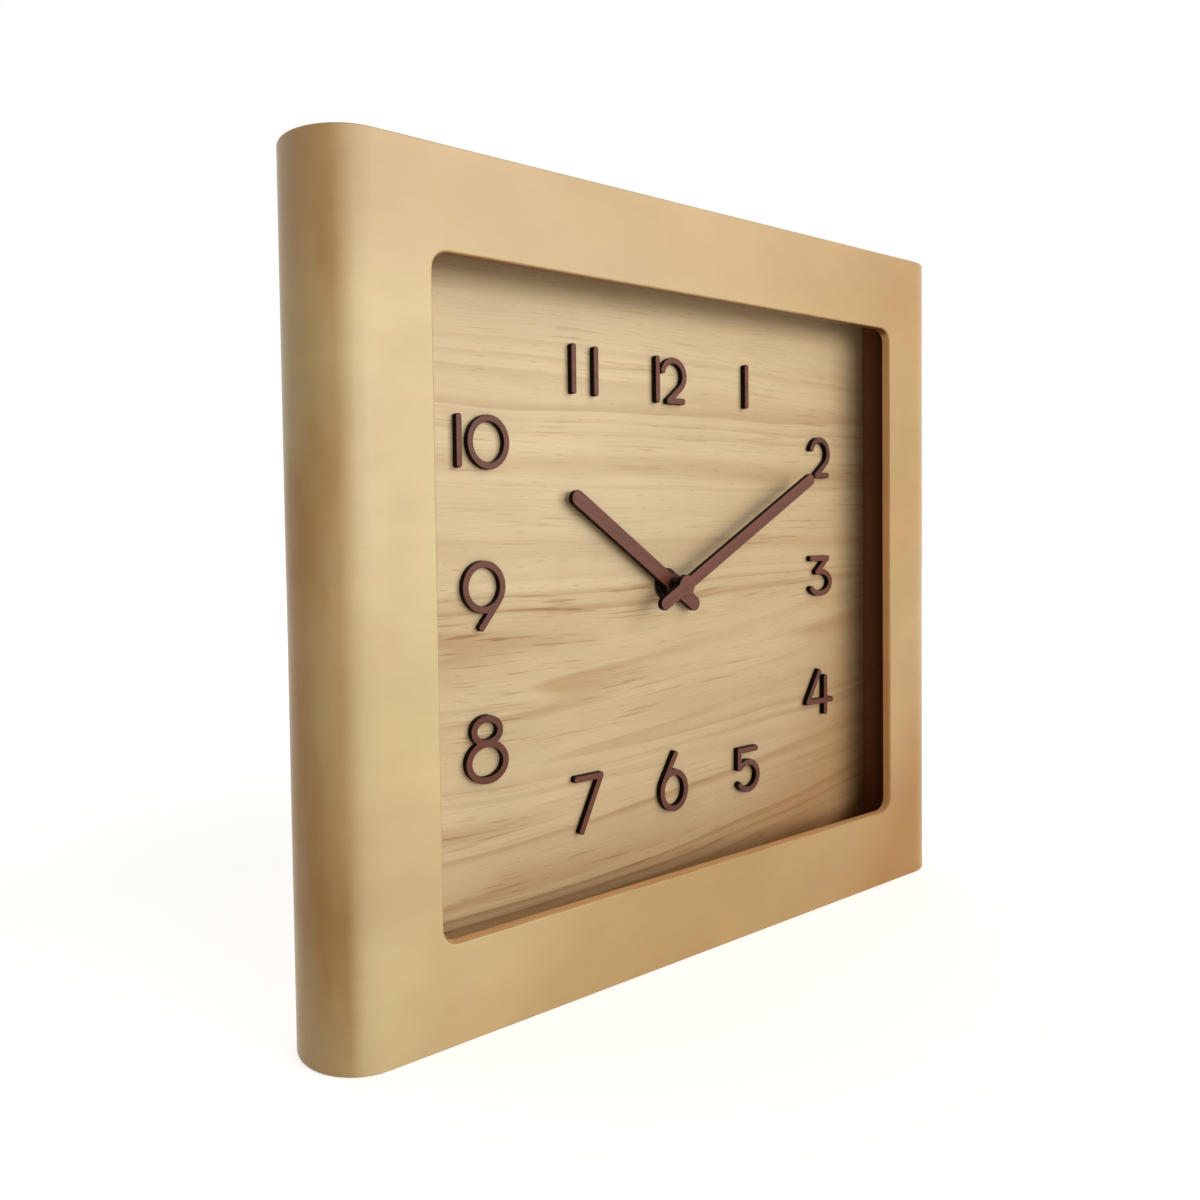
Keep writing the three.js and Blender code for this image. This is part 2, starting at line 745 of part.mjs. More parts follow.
const motionModule = moduleOf(motionDistance, teeth.cannon, teeth.motion);
const hourModule = moduleOf(motionDistance, teeth.motionPinion, teeth.hour);
const centreModule = moduleOf(thirdDistance, teeth.centre, teeth.thirdPinion);
const thirdModule = moduleOf(thirdDistance, teeth.third, teeth.secondsPinion);
const secondsModule = moduleOf(intermediateDistance, teeth.seconds, teeth.intermediatePinion);
const rotorModule = moduleOf(rotorDistance, teeth.intermediate, teeth.rotorPinion);

const phase = { cannon: 0, hour: 0, centre: 0, third: 0, seconds: 0, intermediate: 0 };
phase.motion = meshPhase(axis.centre, axis.motion, teeth.cannon, phase.cannon, teeth.motion);
phase.knob = meshPhase(axis.motion, axis.knob, teeth.motion, phase.motion, teeth.knob);
phase.motionPinion = meshPhase(axis.centre, axis.motion, teeth.hour, phase.hour, teeth.motionPinion);
phase.thirdPinion = meshPhase(axis.centre, axis.third, teeth.centre, phase.centre, teeth.thirdPinion);
phase.secondsPinion = meshPhase(axis.third, axis.centre, teeth.third, phase.third, teeth.secondsPinion);
phase.intermediatePinion = meshPhase(
  axis.centre,
  axis.intermediate,
  teeth.seconds,
  phase.seconds,
  teeth.intermediatePinion,
);
phase.rotorPinion = meshPhase(
  axis.intermediate,
  axis.rotor,
  teeth.intermediate,
  phase.intermediate,
  teeth.rotorPinion,
);

function hourWheel() {
  const [y0, y1] = level.hour;
  const wheel = gear(teeth.hour, hourModule, phase.hour, [y0, y1], axis.centre);
  const tube = cylinder(hourPipe, [hourFace + pressGap, behind(y1)]);
  const bore = cylinder(hourBore, [hourFace - 1, behind(y1) + 1]);
  return cut(wheel.add(tube), bore);
}

function minuteShaft() {
  const pinion = gear(teeth.cannon, motionModule, phase.cannon, level.cannon, axis.centre);
  const rear = behind(level.centre[1] + runningGap);
  const shaftFront = minuteCap + bushCap + pressGap;
  const tube = cylinder(minutePipe, [shaftFront, rear]);
  return cut(pinion.add(tube), cylinder(minuteBore, [shaftFront - 1, rear + 1]));
}

function motionWheel() {
  const wheel = gear(teeth.motion, motionModule, phase.motion, level.motion, axis.motion);
  const [low, high] = [level.hour[0], level.motion[1]];
  const pinionLevel = [low, level.motion[0]];
  const pinion = gear(teeth.motionPinion, hourModule, phase.motionPinion, pinionLevel, axis.motion);
  const bore = cylinder(motionPost + pivotClearance, [behind(low) - 1, behind(high) + 1], axis.motion, 12);
  return cut(wheel.add(pinion), bore);
}

function centreWheel() {
  const wheel = gear(teeth.centre, centreModule, phase.centre, level.centre, axis.centre);
  const [y0, y1] = level.centre;
  return cut(wheel, cylinder(minutePipe + pivotClearance, [behind(y0) - 1, behind(y1) + 1]));
}

function arborOf(at, start, radius = arbor) {
  return cylinder(radius, [behind(start), behind(arborEnd)], at, 12);
}

function thirdWheel() {
  const wheel = gear(teeth.third, thirdModule, phase.third, level.third, axis.third);
  const pinion = gear(teeth.thirdPinion, centreModule, phase.thirdPinion, level.thirdPinion, axis.third);
  return join(wheel, pinion, arborOf(axis.third, level.hour[0]));
}

function secondsWheel() {
  const wheel = gear(teeth.seconds, secondsModule, phase.seconds, level.seconds, axis.centre);
  const { secondsPinion } = level;
  const pinion = gear(teeth.secondsPinion, thirdModule, phase.secondsPinion, secondsPinion, axis.centre);
  const spindle = cylinder(secondsArbor, [minuteBack, behind(arborEnd)], axis.centre, 12);
  const collar = cylinder(arbor * 2, [behind(secondsPinion[0]), behind(level.seconds[1])], axis.centre, 12);
  return join(wheel, pinion, spindle, collar);
}

function intermediateWheel() {
  const { intermediate, intermediatePinion, midPlate } = level;
  const at = axis.intermediate;
  const wheel = gear(teeth.intermediate, rotorModule, phase.intermediate, intermediate, at);
  const pinionLevel = [intermediatePinion[0], intermediate[0]];
  const pinion = gear(teeth.intermediatePinion, secondsModule, phase.intermediatePinion, pinionLevel, at);
  return join(wheel, pinion, arborOf(at, midPlate[0] + runningGap));
}

function rotor() {
  const magnet = cylinder(magnetRadius, level.magnet.map(behind), axis.rotor);
  const pinion = gear(teeth.rotorPinion, rotorModule, phase.rotorPinion, level.rotorPinion, axis.rotor);
  return join(magnet, pinion, arborOf(axis.rotor, level.hour[0]));
}

const knobTop = movementBack - runningGap;
const knobFloor = knobTop - knobHeight - runningGap;
function settingKnob() {
  const pinion = gear(teeth.knob, motionModule, phase.knob, level.cannon, axis.knob);
  const shaft = cylinder(knobShaft, [behind(level.hour[0]), knobTop - 1], axis.knob, 16);
  const outline = Array.from({ length: 2 * knobGrips }, (_, i) => {
    const radius = knobRadius - (i % 2) * knobGripDepth;
    const angle = (i * TURN) / 2 / knobGrips;
    return new THREE.Vector2(radius * Math.cos(angle), radius * Math.sin(angle));
  });
  const [x, z] = axis.knob;
  const disc = plate(new THREE.Shape(outline), [knobTop - knobHeight, knobTop]).translate([x, 0, z]);
  return join(pinion, shaft, disc);
}

// Movement housing: a box open at the back, with the threaded stem in front and two bays inside.
const inside = movementSize / 2 - movementWall;
const bayBottom = movementBottom + movementWall;
const bayTop = bayBottom + 2 * (batteryGap + batteryRadius);
const trainBottom = bayTop + movementWall;
const trainTop = movementTop - movementWall;
const platePosts = [0, 1].flatMap((i) =>
  [0, 1].map((k) => [
    midPlateX[i] + (i ? -midPlateCorner : midPlateCorner),
    midPlateZ[k] + (k ? -midPlateCorner : midPlateCorner),
  ]),
);
const boardX = [-inside + boardGap, -inside + boardGap + boardWidth];
const boardMiddle = (boardX[0] + boardX[1]) / 2;
const boardPosts = [
  [boardMiddle, boardZ[0] + boardPostInset],
  [boardMiddle, boardZ[1] - boardPostInset],
];
const coreHalf = coreHeight / 2;
const statorPosts = [statorLeft, statorRight].map(([x0, x1]) => [(x0 + x1) / 2, coilZ + coreHalf]);

function movementCase() {
  const body = roundedRectangle(
    [-movementSize / 2, movementSize / 2],
    [movementBottom, movementTop],
    movementCorner,
  );
  const trainBay = box([-inside, inside], [innerFace, movementBack + 1], [trainBottom, trainTop]);
  const batteryBay = box([-inside, inside], [innerFace, movementBack + 1], [bayBottom, bayTop]);
  const seat = box(
    [-movementSize, movementSize],
    [coverFront, movementBack + 1],
    [trainBottom - movementWall / 2, movementTop + 1],
  );
  const shell = cut(plate(body, [movementFront, movementBack], 3), trainBay, batteryBay, seat);
  const standing = (at, height, radius = postRadius) =>
    cylinder(radius, [innerFace - movementWall / 2, behind(height)], at, 12);
  const posts = [
    ...platePosts.map((at) => standing(at, level.midPlate[0])),
    ...boardPosts.map((at) => standing(at, level.board[0])),
    ...statorPosts.map((at) => standing(at, level.stator[0], statorPost)),
    standing(axis.motion, level.motion[1], motionPost),
  ];
  const stem = cylinder(stemRadius, [stemEnd, innerFace - movementWall / 2]);
  const bore = cylinder(stemBore, [stemEnd - 1, innerFace + 1]);
  const pivot = (at, radius) =>
    cylinder(radius + pivotClearance, [innerFace - movementWall / 2, innerFace + 1], at, 12);
  return cut(
    join(shell, stem, ...posts),
    bore,
    pivot(axis.third, arbor),
    pivot(axis.rotor, arbor),
    pivot(axis.knob, knobShaft),
  );
}

function movementCover() {
  const outline = roundedRectangle(
    [-movementSize / 2, movementSize / 2],
    [trainBottom - movementWall / 2 + coverGap, movementTop],
    1,
  );
  const boss = (at) => cylinder(bossRadius, [behind(bossStart), coverFront + coverThickness / 2], at, 12);
  const pivotDepth = [behind(bossStart) - 1, behind(arborEnd + runningGap)];
  const pivot = (at) => cylinder(arbor + pivotClearance, pivotDepth, at, 12);
  const bearings = [axis.centre, axis.third, axis.intermediate, axis.rotor];
  const wellRadius = knobRadius + knobWell;
  const well = cylinder(wellRadius + 1, [knobFloor - 1, coverFront + coverThickness / 2], axis.knob, 24);
  const plateSolid = plate(outline, [coverFront, movementBack], 3);
  return cut(
    join(plateSolid, well, ...bearings.map(boss)),
    cylinder(wellRadius, [knobFloor, movementBack + 1], axis.knob, 24),
    cylinder(knobShaft + pivotClearance, [knobFloor - 2, knobFloor + 1], axis.knob, 16),
    ...bearings.map(pivot),
  );
}

function midPlate() {
  const [y0, y1] = level.midPlate.map(behind);
  const outline = roundedRectangle(midPlateX, midPlateZ, midPlateCorner);
  const hole = (at, radius) => cylinder(radius, [y0 - 1, y1 + 1], at, 16);
  return cut(
    plate(outline, [y0, y1], 3),
    hole(axis.centre, minuteBore + runningGap),
    hole(axis.third, (teeth.thirdPinion / 2 + toothTip) * centreModule + runningGap),
    hole(axis.intermediate, arbor + pivotClearance),
    hole(axis.rotor, (teeth.rotorPinion / 2 + toothTip) * rotorModule + runningGap),
    hole(axis.knob, knobShaft + pivotClearance),
  );
}

function stator() {
  const depth = level.stator.map(behind);
  const [x, z] = axis.rotor;
  const outer = magnetRadius + statorGap + statorRing;
  const strip = [z + statorRing, z + outer];
  const top = coilZ + coreHalf + statorEar;
  const pole = cylinder(outer, depth, axis.rotor, 24);
  const arms = [
    box([statorLeft[0], x], depth, strip),
    box(statorLeft, depth, [strip[0], top]),
    box(statorRight, depth, [z, top]),
  ];
  return cut(
    join(pole, ...arms),
    cylinder(magnetRadius + statorGap, [depth[0] - 1, depth[1] + 1], axis.rotor, 24),
  );
}

const coilEnds = [statorLeft[1] + coilGap, statorRight[0] - coilGap];
const coilCentreY = behind((level.core[0] + level.core[1]) / 2);
function coilCore() {
  return box([statorLeft[0], statorRight[1]], level.core.map(behind), [coilZ - coreHalf, coilZ + coreHalf]);
}

// Bobbin and winding as one turned piece with flanges, round the core.
function coil() {
  const [x0, x1] = coilEnds;
  const profile = [
    [0, x0],
    [coilFlange, x0],
    [coilFlange, x0 + coilEnd],
    [coilWinding, x0 + coilEnd],
    [coilWinding, x1 - coilEnd],
    [coilFlange, x1 - coilEnd],
    [coilFlange, x1],
    [0, x1],
  ].map(([r, x]) => new THREE.Vector2(r, x));
  const lathe = new THREE.LatheGeometry(profile, 20).rotateZ(-TURN / 4).translate(0, coilCentreY, coilZ);
  const [y0, y1] = level.core.map(behind);
  const room = coreHalf + coreGap;
  const core = box([x0 - 1, x1 + 1], [y0 - coreGap, y1 + coreGap], [coilZ - room, coilZ + room]);
  return cut(solidOf(lathe), core);
}

function circuitBoard() {
  return plate(roundedRectangle(boardX, boardZ, boardCorner), level.board.map(behind), 2);
}

function quartzCrystal() {
  const can = new THREE.CylinderGeometry(crystalRadius, crystalRadius, crystalLength, 12);
  const y = behind(level.board[1]) + crystalRadius + seatGap;
  return solidOf(can.rotateX(TURN / 4).translate(boardMiddle, y, crystalZ));
}

const batteryZ = bayBottom + batteryGap + batteryRadius;
const batteryY = innerFace + 0.4 + batteryRadius;
const batteryStart = -batteryLength / 2;
function battery() {
  const body = batteryStart + batteryLength - batteryNib;
  const profile = [
    [0, batteryStart],
    [batteryRadius - 0.6, batteryStart],
    [batteryRadius, batteryStart + 0.6],
    [batteryRadius, body - 0.6],
    [batteryRadius - 0.6, body],
    [batteryNibRadius, body],
    [batteryNibRadius, body + batteryNib],
    [0, body + batteryNib],
  ].map(([r, x]) => new THREE.Vector2(r, x));
  const lathe = new THREE.LatheGeometry(profile, 28).rotateZ(-TURN / 4);
  return solidOf(lathe.translate(0, batteryY, batteryZ));
}

const contactDepth = [innerFace + 1, movementBack - 2];
const contactReach = batteryRadius * 0.7;
function positiveContact() {
  const x = -batteryStart + runningGap;
  return box([x, x + contactStrip], contactDepth, [batteryZ - contactReach, batteryZ + contactReach]);
}

// Leaf that bows towards the battery's flat end.
function negativeContact() {
  const wall = -inside + runningGap + contactStrip / 2;
  const tip = batteryStart - 0.2 - contactStrip / 2;
  const leaf = [
    [wall, -contactReach],
    [wall, -contactReach * 0.6],
    [tip, 0],
    [wall, contactReach * 0.6],
    [wall, contactReach],
  ].map(([x, z]) => new THREE.Vector2(x, batteryZ + z));
  return plate(strokeShape(leaf, contactStrip, contactStrip / 4, 1), contactDepth);
}

const finishes = {
  lightWood: { color: 0xd8bd8c, roughness: 0.55, metalness: 0 },
  dialWood: { color: 0xd3bb95, roughness: 0.6, metalness: 0 },
  plainWood: { color: 0xb9986a, roughness: 0.8, metalness: 0 },
  walnut: { color: 0x6b4136, roughness: 0.5, metalness: 0 },
  steel: { color: 0xa9abae, roughness: 0.35, metalness: 1 },
  brass: { color: 0xb58b4c, roughness: 0.35, metalness: 1 },
  rubber: { color: 0x1d1d1d, roughness: 0.9, metalness: 0 },
  blackPlastic: { color: 0x191a1c, roughness: 0.5, metalness: 0 },
  whitePlastic: { color: 0xe4e2da, roughness: 0.45, metalness: 0 },
  copper: { color: 0xa8562c, roughness: 0.4, metalness: 1 },
  board: { color: 0x2f6b3c, roughness: 0.5, metalness: 0 },
  batteryJacket: { color: 0x7d8286, roughness: 0.4, metalness: 0.4 },
};

const clock = new THREE.Group();
function add(name, solid, finish) {
  const mesh = new THREE.Mesh(geometryOf(solid), new THREE.MeshStandardMaterial(finishes[finish]));
  mesh.name = name;
  clock.add(mesh);
}

add("case_shell", caseShell(), "lightWood");
const [topBoard, bottomBoard] = endBoards();
add("top_board", topBoard, "lightWood");
add("bottom_board", bottomBoard, "lightWood");
const [topRail, bottomRail, leftRail, rightRail] = rails();
add("top_rail", topRail, "plainWood");
add("bottom_rail", bottomRail, "plainWood");
add("left_rail", leftRail, "plainWood");
add("right_rail", rightRail, "plainWood");
add("dial_board", dialBoard(), "dialWood");
dialScrews.forEach((at, i) => add(`dial_screw_${i + 1}`, screw(at, dialBack), "steel"));
add("hanger_batten", hangerBatten(), "plainWood");
add("keyhole_plate", keyholePlate(), "steel");
add("keyhole_screw_left", screw(plateScrews[0], plateFront + plateThickness), "steel");
add("keyhole_screw_right", screw(plateScrews[1], plateFront + plateThickness), "steel");
Object.entries(numerals).forEach(([name, place]) => add(name, figure(...place), "walnut"));
const onAxis = {
  hour_hand: [hourHand, "walnut"],
  hour_hand_bush: [hourBush, "brass"],
  minute_hand: [minuteHand, "walnut"],
  minute_hand_bush: [minuteBush, "brass"],
  fixing_nut: [fixingNut, "brass"],
  fixing_washer: [fixingWasher, "brass"],
  rubber_washer: [softWasher, "rubber"],
  movement_case: [movementCase, "blackPlastic"],
  movement_cover: [movementCover, "blackPlastic"],
  mid_plate: [midPlate, "whitePlastic"],
  hour_wheel: [hourWheel, "whitePlastic"],
  minute_shaft: [minuteShaft, "whitePlastic"],
  motion_wheel: [motionWheel, "whitePlastic"],
  centre_wheel: [centreWheel, "whitePlastic"],
  third_wheel: [thirdWheel, "whitePlastic"],
  seconds_wheel: [secondsWheel, "whitePlastic"],
  intermediate_wheel: [intermediateWheel, "whitePlastic"],
  rotor: [rotor, "steel"],
  setting_knob: [settingKnob, "whitePlastic"],
  stator: [stator, "steel"],
  coil_core: [coilCore, "steel"],
  coil: [coil, "copper"],
  circuit_board: [circuitBoard, "board"],
  quartz_crystal: [quartzCrystal, "steel"],
  battery: [battery, "batteryJacket"],
  battery_contact_positive: [positiveContact, "steel"],
  battery_contact_negative: [negativeContact, "steel"],
};
Object.entries(onAxis).forEach(([name, [make, finish]]) => {
  add(name, make().translate([axisX, 0, axisZ]), finish);
});

export default clock;
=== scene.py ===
import json
from math import atan2, cos, pi, radians, sin

import bmesh
import bpy
from mathutils import Matrix, Vector


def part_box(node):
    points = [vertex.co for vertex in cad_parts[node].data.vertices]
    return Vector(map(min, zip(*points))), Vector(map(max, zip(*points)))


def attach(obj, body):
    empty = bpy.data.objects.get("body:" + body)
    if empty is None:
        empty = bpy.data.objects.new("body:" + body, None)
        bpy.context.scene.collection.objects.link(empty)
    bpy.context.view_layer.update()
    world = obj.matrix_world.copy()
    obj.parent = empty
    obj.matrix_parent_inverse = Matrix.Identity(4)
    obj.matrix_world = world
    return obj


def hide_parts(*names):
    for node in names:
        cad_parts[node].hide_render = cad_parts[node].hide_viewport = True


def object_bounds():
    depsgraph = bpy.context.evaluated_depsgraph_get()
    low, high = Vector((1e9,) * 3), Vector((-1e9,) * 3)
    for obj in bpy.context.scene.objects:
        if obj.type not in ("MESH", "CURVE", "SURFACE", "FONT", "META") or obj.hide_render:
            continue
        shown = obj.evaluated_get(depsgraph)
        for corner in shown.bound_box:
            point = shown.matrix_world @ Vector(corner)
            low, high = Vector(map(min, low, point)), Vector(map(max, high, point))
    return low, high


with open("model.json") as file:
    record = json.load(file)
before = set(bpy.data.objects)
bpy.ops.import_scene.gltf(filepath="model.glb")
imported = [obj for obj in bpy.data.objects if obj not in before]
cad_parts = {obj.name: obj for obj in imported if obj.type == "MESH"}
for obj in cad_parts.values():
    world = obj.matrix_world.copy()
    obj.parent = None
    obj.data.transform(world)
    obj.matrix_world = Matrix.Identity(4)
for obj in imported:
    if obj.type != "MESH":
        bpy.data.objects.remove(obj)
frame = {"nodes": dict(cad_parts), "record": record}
cad_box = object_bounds()
MM = 0.001
WHITE = (1, 1, 1, 1)

# The case, read from the frame. Half its depth is the radius of its half-round sides, and they
# start at bend.
low, high = cad_box
radius = high[1]
bend = high[0] - radius
WINDOW = (127.5 * MM, 115 * MM, 6 * MM)  # half width, half height and corner radius
CUT_EDGE = (0.9 * MM, 0.5 * MM)  # how far past it the cut's colour ends, and is still full

# Camera, fitted to the photograph. Its place is in heights of the clock from the middle of the
# case's front, its angles are in radians, and the rest is in pixels of a frame 1200 across.
FRAME_PX = 1200
FOCAL_PX = 965.05
CENTRE_PX = (474.85, 559.46)
SENSOR_MM = 36
CAMERA_AT = Vector((-0.988, -0.894, 0.0819))
YAW, PITCH, ROLL = 0.6003, -0.0335, -0.0164

# Rounding of the edges, by kind of piece.
BEVEL = {
    "numeral": 0.35 * MM,
    "hand": 0.45 * MM,
    "case": 0.4 * MM,
    "board": 0.5 * MM,
    "metal": 0.15 * MM,
}
MERGE_WITHIN = 1e-6  # metres between points that become one
FLAT_WITHIN = radians(0.6)  # facets that differ less than this become one

# Patterns of noise: features in a metre along X, Y and Z, then detail and roughness. In wood X is
# along the grain and Z across it.
WAVE = ((4.5, 9, 14), 2, 0.5)
BLOTCH = ((14, 20, 24), 3, 0.6)
FIBRE = ((28, 200, 1500), 3, 0.65)
PORE = ((110, 300, 1900), 1, 0.5)
GROWTH = ((0.7, 9, 19), 1.5, 0.4)
GROWTH_BANDS = 17  # to one unit of that noise
GROWTH_FADING = ((1.4, 9, 47.5), 2, 0.5)
STROKE = ((26, 200, 900), 2, 0.6)
STROKE_GROUP = ((5, 9, 38), 2, 0.5)
CASE_PATCH = ((13, 13, 19), 3, 0.6)
CASE_STAIN = ((26, 26, 8), 3, 0.55)
SPECK = ((900, 900, 900), 2, 0.5)
WEAR = ((60, 60, 60), 3, 0.5)
METAL_STAIN = ((70, 70, 70), 3, 0.5)
WIRE_TINT = ((300, 300, 300), 2, 0.5)

# Gradients over the front: from one place to another in metres, and from one share to another.
# CORNER ones run from the middle towards the lower right corner, the others along Z. All but
# DIAL_CALM paint shade: darker at the dial's foot, towards the lower right corner, and at the top
# of the case.
CORNER_ANGLE = 0.6
DIAL_CALM = (40 * MM, 90 * MM, 1.0, 0.6)
DIAL_FOOT_SHADE = (-62 * MM, -125 * MM, 0.0, 0.13)
DIAL_CORNER_SHADE, DIAL_CORNER_END_SHADE = (-60 * MM, 80 * MM, 0.0, 0.3), (80 * MM, 140 * MM, 0.0, 0.26)
CASE_CORNER_SHADE, CASE_CORNER_END_SHADE = (-110 * MM, 80 * MM, 0.0, 0.68), (140 * MM, 200 * MM, 0.0, 0.4)
CASE_TOP_SHADE = (85 * MM, 130 * MM, 0.0, 0.8)

# The dial's streaks rise by this much, along X from one place to another, and below the middle.
RISE = 16 * MM
RISE_ALONG = (-60 * MM, 140 * MM)
RISE_BELOW = (20 * MM, -35 * MM)
STROKES_SHARE = 0.75

# Floor, background and light.
FLOOR_SIZE = 6.0
FLOOR_COLOUR = (0.82, 0.82, 0.81, 1)
FLOOR_GLOW = (0.3, 1.2, 0.6, 0.9)  # from one distance to another, from one strength to another
ROOM_COLOUR = (1.0, 0.97, 0.93, 1)
ROOM_GLOW = (-0.1, 0.8, 0.12, 1.2)  # from before the clock to behind it, and the strengths there
LAMP_COLOUR = (1.0, 0.985, 0.97)
LAMP_DISTANCE = 2.6
LAMPS = {  # direction from the clock, size across and watts
    "key": ((0.43, -0.9, 0.12), 1.8, 31),
    "front": ((-0.04, -1.0, 0.12), 1.6, 22.5),
    "high": ((0.4, -0.65, 0.65), 1.4, 15),
}


def srgb(*channels):
    """Linear colour of an sRGB one with channels up to 255."""
    shares = [channel / 255 for channel in channels]
    return (*(s / 12.92 if s <= 0.04045 else ((s + 0.055) / 1.055) ** 2.4 for s in shares), 1.0)


CASE_LIGHT, CASE_DARK = srgb(215, 195, 145), srgb(196, 162, 108)
# Amber and rose are the colours of the case's stains and patches, and also of its painted shade.
CASE_AMBER, CASE_ROSE = srgb(170, 125, 64), srgb(202, 172, 130)
# The colour of the cut round the window, and painted shade for its upper part, which faces down.
CUT, CUT_UNDERSIDE_SHADE = srgb(224, 171, 116), srgb(112, 70, 44)
DIAL_LIGHT, DIAL_DARK = srgb(214, 193, 153), srgb(150, 102, 48)
# Walnut of the numerals and hands; the last colour is painted shade on their sides.
WALNUT_LIGHT, WALNUT_DARK, WALNUT_SIDE_SHADE = srgb(100, 52, 34), srgb(60, 30, 20), srgb(24, 14, 11)
COAT_ROUGHNESS = 0.24
EDGE_SPECULAR = 0.05


def add_object(name, data):
    obj = bpy.data.objects.new(name, data)
    bpy.context.scene.collection.objects.link(obj)
    return obj


def add_camera():
    forward = Vector((sin(YAW) * cos(PITCH), cos(YAW) * cos(PITCH), sin(PITCH)))
    level = Vector((cos(YAW), -sin(YAW), 0))
    upright = level.cross(forward)
    right = level * cos(ROLL) + upright * sin(ROLL)
    up = upright * cos(ROLL) - level * sin(ROLL)
    data = bpy.data.cameras.new("camera")
    data.sensor_fit = "HORIZONTAL"
    data.sensor_width = SENSOR_MM
    data.lens = SENSOR_MM * FOCAL_PX / FRAME_PX
    data.shift_x = 0.5 - CENTRE_PX[0] / FRAME_PX
    data.shift_y = CENTRE_PX[1] / FRAME_PX - 0.5
    data.clip_start = 0.01
    camera = add_object("camera", data)
    place = CAMERA_AT * (high[2] - low[2]) + Vector((0, low[1], 0))
    turn = Matrix((right, up, -forward)).transposed()
    camera.matrix_world = Matrix.Translation(place) @ turn.to_4x4()
    bpy.context.scene.camera = camera


class Nodes:
    """Short ways to add nodes to a tree. An input takes a number, a colour or a socket."""

    def __init__(self, tree):
        self.tree = tree

    def set(self, socket, value):
        if isinstance(value, bpy.types.NodeSocket):
            self.tree.links.new(value, socket)
        else:
            socket.default_value = value

    def add(self, kind, output=0, inputs=(), **settings):
        node = self.tree.nodes.new("ShaderNode" + kind)
        for name, value in settings.items():
            setattr(node, name, value)
        for name, value in dict(inputs).items():
            self.set(node.inputs[name], value)
        return node.outputs[output]

    def math(self, operation, *values):
        return self.add("Math", inputs=dict(enumerate(values)), operation=operation)

    def vector(self, operation, *values):
        return self.add("VectorMath", inputs=dict(enumerate(values)), operation=operation)

    def length(self, vector):
        return self.add("VectorMath", output="Value", inputs={0: vector}, operation="LENGTH")

    def axis(self, vector, name):
        return self.add("SeparateXYZ", output=name, inputs={0: vector})

    def turned(self, vector, angle):
        """The point turned about Y."""
        inputs = {"Vector": vector, "Angle": angle, "Axis": (0, 1, 0)}
        return self.add("VectorRotate", inputs=inputs)

    def noise(self, vector, stretch, detail, roughness):
        """stretch is the number of features in a metre along each axis."""
        inputs = {
            "Vector": self.vector("MULTIPLY", vector, stretch),
            "Scale": 1.0,
            "Detail": detail,
            "Roughness": roughness,
        }
        return self.add("TexNoise", inputs=inputs)

    def range(self, value, start, end, first=0.0, last=1.0, smooth=True):
        """Goes from first to last as the value goes from start to end, and stays there."""
        inputs = {
            "Value": value,
            "From Min": start,
            "From Max": end,
            "To Min": first,
            "To Max": last,
        }
        kind = "SMOOTHSTEP" if smooth else "LINEAR"
        return self.add("MapRange", inputs=inputs, interpolation_type=kind)

    def mix(self, share, a, b, blend="MIX"):
        inputs = {0: share, 6: a, 7: b}
        return self.add("Mix", output=2, inputs=inputs, data_type="RGBA", blend_type=blend)

    def shaded(self, colour, factor):
        """The colour times a number."""
        grey = self.add("CombineColor", inputs={0: factor, 1: factor, 2: factor})
        return self.mix(1.0, colour, grey, blend="MULTIPLY")


class Shader(Nodes):
    """A material with one principled shader."""

    def __init__(self, name):
        self.material = bpy.data.materials.new(name)
        self.material.use_nodes = True
        super().__init__(self.material.node_tree)
        self.bsdf = self.tree.nodes["Principled BSDF"]

    def surface(self, **inputs):
        for name, value in inputs.items():
            self.set(self.bsdf.inputs[name.replace("_", " ")], value)

    def bump(self, height, depth, strength):
        inputs = {"Height": height, "Distance": depth, "Strength": strength}
        self.surface(Normal=self.add("Bump", inputs=inputs))

    def place(self):
        """Point of the surface in metres, in the piece's own frame."""
        return self.add("TexCoord", output="Object")

    def grain(self):
        """The same, but unrolled round the half-round sides. Only the case has that attribute."""
        return self.add("Attribute", output="Vector", attribute_name="grain")

    def normal(self):
        return self.add("TexCoord", output="Normal")


def along(node):
    """Gives the place in the frame of a hand, whose length runs along X."""
    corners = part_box(node)
    angle = atan2(corners[0].x + corners[1].x, corners[0].z + corners[1].z)
    return lambda shader: shader.turned(shader.place(), pi / 2 - angle)


def side_facing(shader, start, end):
    """1 where the surface looks sideways, 0 where it looks to the front or the back."""
    facing = shader.axis(shader.vector("ABSOLUTE", shader.normal()), "Y")
    return shader.range(facing, start, end)


def towards_corner(shader, point):
    """How far the point lies towards the lower right corner, in metres from the middle."""
    return shader.axis(shader.turned(point, -CORNER_ANGLE), "X")


def window_cut(shader, point):
    """1 on the cut edge round the window, 0 on the rest of the case."""
    half_x, half_z, corner = WINDOW
    flat = shader.vector("MULTIPLY", shader.vector("ABSOLUTE", point), (1, 0, 1))
    past = shader.vector("SUBTRACT", flat, (half_x - corner, 0, half_z - corner))
    past = shader.length(shader.vector("MAXIMUM", past, (0, 0, 0)))
    near = shader.range(past, *(corner + edge for edge in CUT_EDGE))
    return shader.math("MULTIPLY", near, side_facing(shader, 0.6, 0.2))


def dial_flow(shader, point):
    """Streaks that rise towards the right in the lower half of the dial, as the veneer's do."""
    reach = shader.range(shader.axis(point, "X"), *RISE_ALONG, smooth=False)
    rise = shader.math("MULTIPLY", shader.math("MULTIPLY", reach, reach), -RISE)
    lower = shader.range(shader.axis(point, "Z"), *RISE_BELOW)
    return shader.math("MULTIPLY", rise, lower)


def growth(shader, point):
    """Growth rings: soft bands that darken towards one side."""
    saw = shader.math("FRACT", shader.math("MULTIPLY", shader.noise(point, *GROWTH), GROWTH_BANDS))
    band = shader.math("MULTIPLY", shader.range(saw, 0.25, 0.85), shader.range(saw, 1.0, 0.86))
    fading = shader.range(shader.noise(point, *GROWTH_FADING), 0.38, 0.66, 0.15, 1.0)
    return shader.math("MULTIPLY", band, fading)


